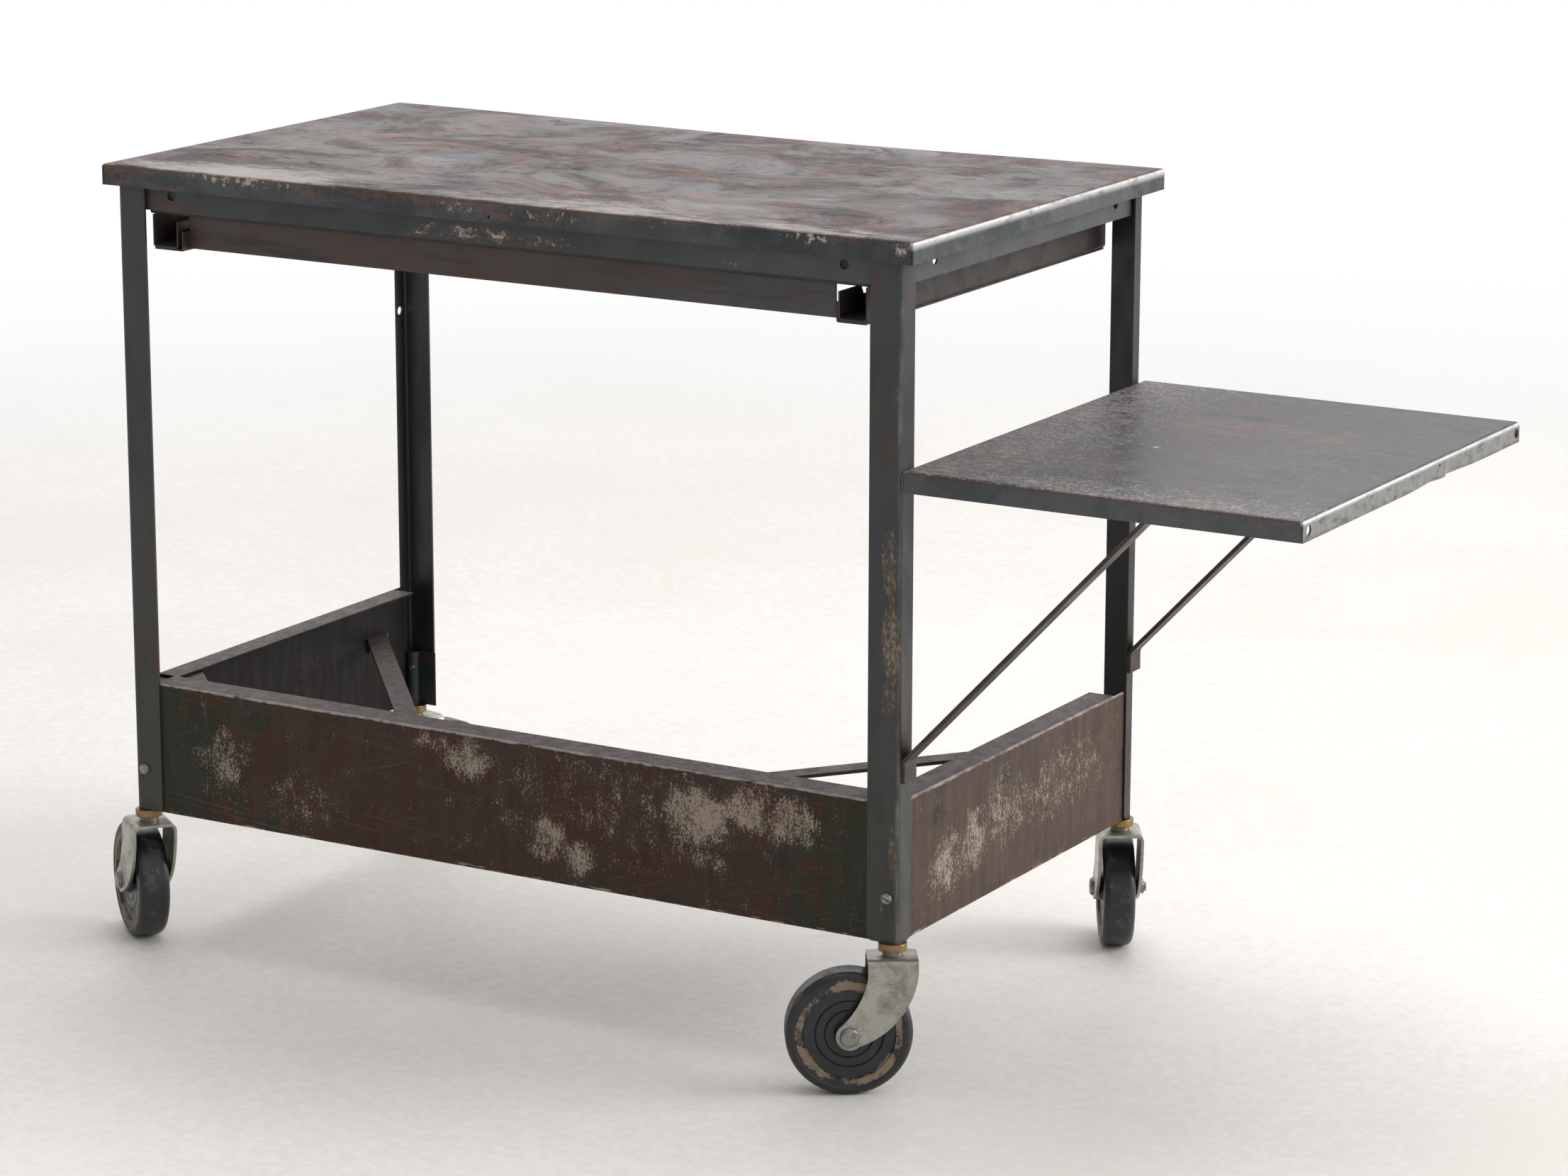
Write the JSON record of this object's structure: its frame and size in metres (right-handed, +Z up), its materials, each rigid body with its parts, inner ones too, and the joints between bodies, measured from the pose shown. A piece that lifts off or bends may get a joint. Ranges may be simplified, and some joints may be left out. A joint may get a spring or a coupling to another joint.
{
  "type": "rolling table with side leaf",
  "caption": "Small sheet-steel work table on four swivel casters, with a lower fixed side leaf on braces, drawer runners under the top and a skirt round its base.",
  "frame": {"origin": "on the floor, at the middle of the box around the whole table", "axes": "+X along the table towards the side leaf, +Y from front to rear, +Z up"},
  "size_m": [1.1344, 0.5332, 0.673],
  "materials": {
    "top_paint": "worn dark enamel, rubbed through to primer and rust",
    "leaf_paint": "worn dark enamel with fine pale specks",
    "frame_paint": "dark blue-grey enamel, brown with age",
    "base_paint": "dark brown enamel, rubbed to pale primer in patches",
    "runner_steel": "dull dark painted steel",
    "fastener_steel": "dull, stained",
    "collar_brass": "tarnished",
    "fork_zinc": "dull zinc with stains and rust",
    "wheel_rubber": "hard blue-black rubber with a tan worn ring"
  },
  "bodies": {
    "root": {"apron_front": "frame_paint", "apron_left": "frame_paint", "apron_rear": "frame_paint", "apron_right": "frame_paint", "caster_socket_front_left": "base_paint", "caster_socket_front_right": "base_paint", "caster_socket_rear_left": "base_paint", "caster_socket_rear_right": "base_paint", "collar_front_left": "collar_brass", "collar_front_right": "collar_brass", "collar_rear_left": "collar_brass", "collar_rear_right": "collar_brass", "corner_gussets": "base_paint", "cross_strip": "runner_steel", "drawer_runner_left": "runner_steel", "drawer_runner_right": "runner_steel", "hanger_rail_front": "runner_steel", "hanger_rail_rear": "runner_steel", "leaf_bolts": "fastener_steel", "leaf_brace_front": "frame_paint", "leaf_brace_rear": "frame_paint", "leaf_nuts": "fastener_steel", "leg_front_left": "frame_paint", "leg_front_right": "frame_paint", "leg_rear_left": "frame_paint", "leg_rear_right": "frame_paint", "runner_strip_left": "runner_steel", "runner_strip_right": "runner_steel", "side_leaf": "leaf_paint", "skirt_front": "base_paint", "skirt_left": "base_paint", "skirt_right": "base_paint", "socket_screws": "fastener_steel", "stem_front_left": "fastener_steel", "stem_front_right": "fastener_steel", "stem_rear_left": "fastener_steel", "stem_rear_right": "fastener_steel", "strap_left": "base_paint", "strap_right": "base_paint", "table_top": "top_paint", "thrust_ring_front_left": "fastener_steel", "thrust_ring_front_right": "fastener_steel", "thrust_ring_rear_left": "fastener_steel", "thrust_ring_rear_right": "fastener_steel"},
    "caster_fork_front_left": {"fork_front_left": "fork_zinc", "axle_bolt_front_left": "fastener_steel"},
    "caster_wheel_front_left": {"wheel_front_left": "wheel_rubber", "wheel_bush_front_left": "fastener_steel"},
    "caster_fork_front_right": {"fork_front_right": "fork_zinc", "axle_bolt_front_right": "fastener_steel"},
    "caster_wheel_front_right": {"wheel_front_right": "wheel_rubber", "wheel_bush_front_right": "fastener_steel"},
    "caster_fork_rear_left": {"fork_rear_left": "fork_zinc", "axle_bolt_rear_left": "fastener_steel"},
    "caster_wheel_rear_left": {"wheel_rear_left": "wheel_rubber", "wheel_bush_rear_left": "fastener_steel"},
    "caster_fork_rear_right": {"fork_rear_right": "fork_zinc", "axle_bolt_rear_right": "fastener_steel"},
    "caster_wheel_rear_right": {"wheel_rear_right": "wheel_rubber", "wheel_bush_rear_right": "fastener_steel"}
  },
  "joints": [
    {"name": "swivel_front_left", "type": "hinge", "parent": "root", "child": "caster_fork_front_left", "pos_m": [-0.49504, -0.2118, 0.111], "axis": [0, 0, 1], "continuous": true},
    {"name": "roll_front_left", "type": "hinge", "parent": "caster_fork_front_left", "child": "caster_wheel_front_left", "pos_m": [-0.52183, -0.19087, 0.05], "axis": [-0.6157, -0.788, 0], "continuous": true},
    {"name": "swivel_front_right", "type": "hinge", "parent": "root", "child": "caster_fork_front_right", "pos_m": [0.22796, -0.2118, 0.111], "axis": [0, 0, 1], "continuous": true},
    {"name": "roll_front_right", "type": "hinge", "parent": "caster_fork_front_right", "child": "caster_wheel_front_right", "pos_m": [0.19945, -0.23032, 0.05], "axis": [0.5446, -0.8387, 0], "continuous": true},
    {"name": "swivel_rear_left", "type": "hinge", "parent": "root", "child": "caster_fork_rear_left", "pos_m": [-0.49504, 0.1833, 0.111], "axis": [0, 0, 1], "continuous": true},
    {"name": "roll_rear_left", "type": "hinge", "parent": "caster_fork_rear_left", "child": "caster_wheel_rear_left", "pos_m": [-0.48624, 0.21614, 0.05], "axis": [-0.9659, 0.2588, 0], "continuous": true},
    {"name": "swivel_rear_right", "type": "hinge", "parent": "root", "child": "caster_fork_rear_right", "pos_m": [0.22796, 0.1833, 0.111], "axis": [0, 0, 1], "continuous": true},
    {"name": "roll_rear_right", "type": "hinge", "parent": "caster_fork_rear_right", "child": "caster_wheel_rear_right", "pos_m": [0.21045, 0.21245, 0.05], "axis": [-0.8572, -0.515, 0], "continuous": true}
  ]
}
